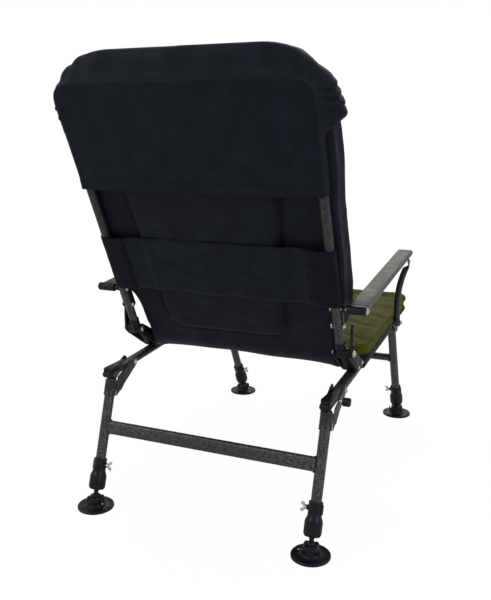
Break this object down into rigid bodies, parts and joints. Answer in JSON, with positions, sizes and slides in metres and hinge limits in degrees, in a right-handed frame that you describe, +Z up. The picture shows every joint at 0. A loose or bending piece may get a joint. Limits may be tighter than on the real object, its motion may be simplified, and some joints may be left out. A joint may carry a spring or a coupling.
{
  "type": "carp fishing chair",
  "caption": "Folding fishing chair with a padded reclining back, swinging armrests and telescopic legs on swivelling mud feet.",
  "frame": {"origin": "on the floor under the middle of the chair's box", "axes": "+X to the sitter's left, +Y to the rear, +Z up"},
  "size_m": [0.6274, 0.9628, 0.9499],
  "materials": {
    "hammered_grey": "dark grey hammertone powder coat with small light dimples",
    "dark_tube": "near-black fine-textured coating",
    "armrest_grey": "warm grey satin moulded pad with a fine grain",
    "black_plastic": "black moulded nylon, slightly glossy",
    "bright_steel": "zinc plated steel",
    "olive_cloth": "olive green padded polyester with sewn channels",
    "black_cloth": "blue-black coated Oxford polyester weave"
  },
  "bodies": {
    "seat_frame": {"seat_side_tube_L": "hammered_grey", "seat_side_tube_R": "hammered_grey", "seat_front_bow": "hammered_grey", "seat_tube_cap_L": "black_plastic", "seat_tube_cap_R": "black_plastic", "hinge_base_L": "black_plastic", "hinge_base_R": "black_plastic", "front_leg_saddle_L": "hammered_grey", "front_leg_saddle_R": "hammered_grey", "rear_bracket_bolt_L": "bright_steel", "rear_bracket_bolt_R": "bright_steel", "seat_wrap_L": "black_cloth", "seat_wrap_R": "black_cloth", "seat_pad": "olive_cloth"},
    "back_frame": {"upright_L": "hammered_grey", "upright_R": "hammered_grey", "back_top_bow": "hammered_grey", "hinge_sleeve_L": "black_plastic", "hinge_sleeve_R": "black_plastic", "arm_strap_L": "bright_steel", "arm_strap_R": "bright_steel", "arm_bolt_L": "bright_steel", "arm_bolt_R": "bright_steel", "back_pad": "olive_cloth", "head_pocket": "black_cloth", "lumbar_band": "black_cloth"},
    "rear_legs": {"rear_leg_L": "hammered_grey", "rear_leg_R": "hammered_grey", "rear_collar_L": "black_plastic", "rear_collar_R": "black_plastic", "rear_leg_bracket_L": "hammered_grey", "rear_leg_bracket_R": "hammered_grey", "rear_crossbar": "hammered_grey"},
    "front_legs": {"front_leg_L": "hammered_grey", "front_leg_R": "hammered_grey", "front_collar_L": "black_plastic", "front_collar_R": "black_plastic", "front_crossbar": "hammered_grey"},
    "armrest_left": {"armrest_L": "armrest_grey", "armrest_cap_L": "black_plastic"},
    "strut_left": {"arm_strut_L": "dark_tube"},
    "lever_left": {"recline_lever_L": "black_plastic"},
    "rear_inner_left": {"rear_inner_leg_L": "bright_steel"},
    "rear_foot_left": {"rear_foot_L": "black_plastic"},
    "rear_wing_left": {"rear_wing_screw_L": "bright_steel"},
    "front_inner_left": {"front_inner_leg_L": "bright_steel"},
    "front_foot_left": {"front_foot_L": "black_plastic"},
    "front_wing_left": {"front_wing_screw_L": "bright_steel"},
    "armrest_right": {"armrest_R": "armrest_grey", "armrest_cap_R": "black_plastic"},
    "strut_right": {"arm_strut_R": "dark_tube"},
    "lever_right": {"recline_lever_R": "black_plastic"},
    "rear_inner_right": {"rear_inner_leg_R": "bright_steel"},
    "rear_foot_right": {"rear_foot_R": "black_plastic"},
    "rear_wing_right": {"rear_wing_screw_R": "bright_steel"},
    "front_inner_right": {"front_inner_leg_R": "bright_steel"},
    "front_foot_right": {"front_foot_R": "black_plastic"},
    "front_wing_right": {"front_wing_screw_R": "bright_steel"},
    "lock_knob": {"lock_knob": "black_plastic"}
  },
  "joints": [
    {"name": "back_fold", "type": "hinge", "parent": "seat_frame", "child": "back_frame", "pos_m": [0, 0.21091, 0.36684], "axis": [1, 0, 0], "range_deg": [-20, 82], "deforming": ["back_pad", "seat_pad"]},
    {"name": "rear_legs_fold", "type": "hinge", "parent": "seat_frame", "child": "rear_legs", "pos_m": [0, 0.23961, 0.295], "axis": [1, 0, 0], "range_deg": [-99, 0]},
    {"name": "front_legs_fold", "type": "hinge", "parent": "seat_frame", "child": "front_legs", "pos_m": [0, -0.28882, 0.30138], "axis": [1, 0, 0], "range_deg": [0, 110]},
    {"name": "armrest_left_swing", "type": "hinge", "parent": "back_frame", "child": "armrest_left", "pos_m": [0.287, 0.26117, 0.47095], "axis": [1, 0, 0], "range_deg": [-93, 23]},
    {"name": "strut_left_swing", "type": "hinge", "parent": "seat_frame", "child": "strut_left", "pos_m": [0.2731, -0.24139, 0.331], "axis": [1, 0, 0], "range_deg": [-13, 50]},
    {"name": "lever_left_pull", "type": "hinge", "parent": "seat_frame", "child": "lever_left", "pos_m": [0.2686, 0.21091, 0.36684], "axis": [1, 0, 0], "range_deg": [-35, 0]},
    {"name": "rear_leg_left_extend", "type": "slide", "parent": "rear_legs", "child": "rear_inner_left", "axis": [0, 0.314, -0.9494], "range_m": [0, 0.1]},
    {"name": "rear_foot_left_tilt", "type": "hinge", "parent": "rear_inner_left", "child": "rear_foot_left", "pos_m": [0.25, 0.39711, 0.025], "axis": [1, 0, 0], "range_deg": [-20, 20]},
    {"name": "rear_wing_left_turn", "type": "hinge", "parent": "rear_legs", "child": "rear_wing_left", "pos_m": [0.226, 0.37482, 0.09241], "axis": [1, 0, 0], "continuous": true},
    {"name": "front_leg_left_extend", "type": "slide", "parent": "front_legs", "child": "front_inner_left", "axis": [0, -0.4833, -0.8755], "range_m": [0, 0.1]},
    {"name": "front_foot_left_tilt", "type": "hinge", "parent": "front_inner_left", "child": "front_foot_left", "pos_m": [0.25, -0.44139, 0.025], "axis": [1, 0, 0], "range_deg": [-20, 14]},
    {"name": "front_wing_left_turn", "type": "hinge", "parent": "front_legs", "child": "front_wing_left", "pos_m": [0.226, -0.40708, 0.08716], "axis": [1, 0, 0], "continuous": true},
    {"name": "armrest_right_swing", "type": "hinge", "parent": "back_frame", "child": "armrest_right", "pos_m": [-0.287, 0.26117, 0.47095], "axis": [1, 0, 0], "range_deg": [-93, 23]},
    {"name": "strut_right_swing", "type": "hinge", "parent": "seat_frame", "child": "strut_right", "pos_m": [-0.2731, -0.24139, 0.331], "axis": [1, 0, 0], "range_deg": [-13, 50]},
    {"name": "lever_right_pull", "type": "hinge", "parent": "seat_frame", "child": "lever_right", "pos_m": [-0.2686, 0.21091, 0.36684], "axis": [1, 0, 0], "range_deg": [-35, 0]},
    {"name": "rear_leg_right_extend", "type": "slide", "parent": "rear_legs", "child": "rear_inner_right", "axis": [0, 0.314, -0.9494], "range_m": [0, 0.1]},
    {"name": "rear_foot_right_tilt", "type": "hinge", "parent": "rear_inner_right", "child": "rear_foot_right", "pos_m": [-0.25, 0.39711, 0.025], "axis": [1, 0, 0], "range_deg": [-20, 20]},
    {"name": "rear_wing_right_turn", "type": "hinge", "parent": "rear_legs", "child": "rear_wing_right", "pos_m": [-0.226, 0.37482, 0.09241], "axis": [1, 0, 0], "continuous": true},
    {"name": "front_leg_right_extend", "type": "slide", "parent": "front_legs", "child": "front_inner_right", "axis": [0, -0.4833, -0.8755], "range_m": [0, 0.1]},
    {"name": "front_foot_right_tilt", "type": "hinge", "parent": "front_inner_right", "child": "front_foot_right", "pos_m": [-0.25, -0.44139, 0.025], "axis": [1, 0, 0], "range_deg": [-20, 14]},
    {"name": "front_wing_right_turn", "type": "hinge", "parent": "front_legs", "child": "front_wing_right", "pos_m": [-0.226, -0.40708, 0.08716], "axis": [1, 0, 0], "continuous": true},
    {"name": "lock_knob_pull", "type": "slide", "parent": "rear_legs", "child": "lock_knob", "axis": [-1, 0, 0], "range_m": [0, 0.008], "stiffness_N_per_m": 600}
  ],
  "couplings": [
    {"joint": "armrest_left_swing", "follows": "back_fold", "ratio": -1.06},
    {"joint": "strut_left_swing", "follows": "back_fold", "ratio": 0.55},
    {"joint": "armrest_right_swing", "follows": "back_fold", "ratio": -1.06},
    {"joint": "strut_right_swing", "follows": "back_fold", "ratio": 0.55}
  ]
}
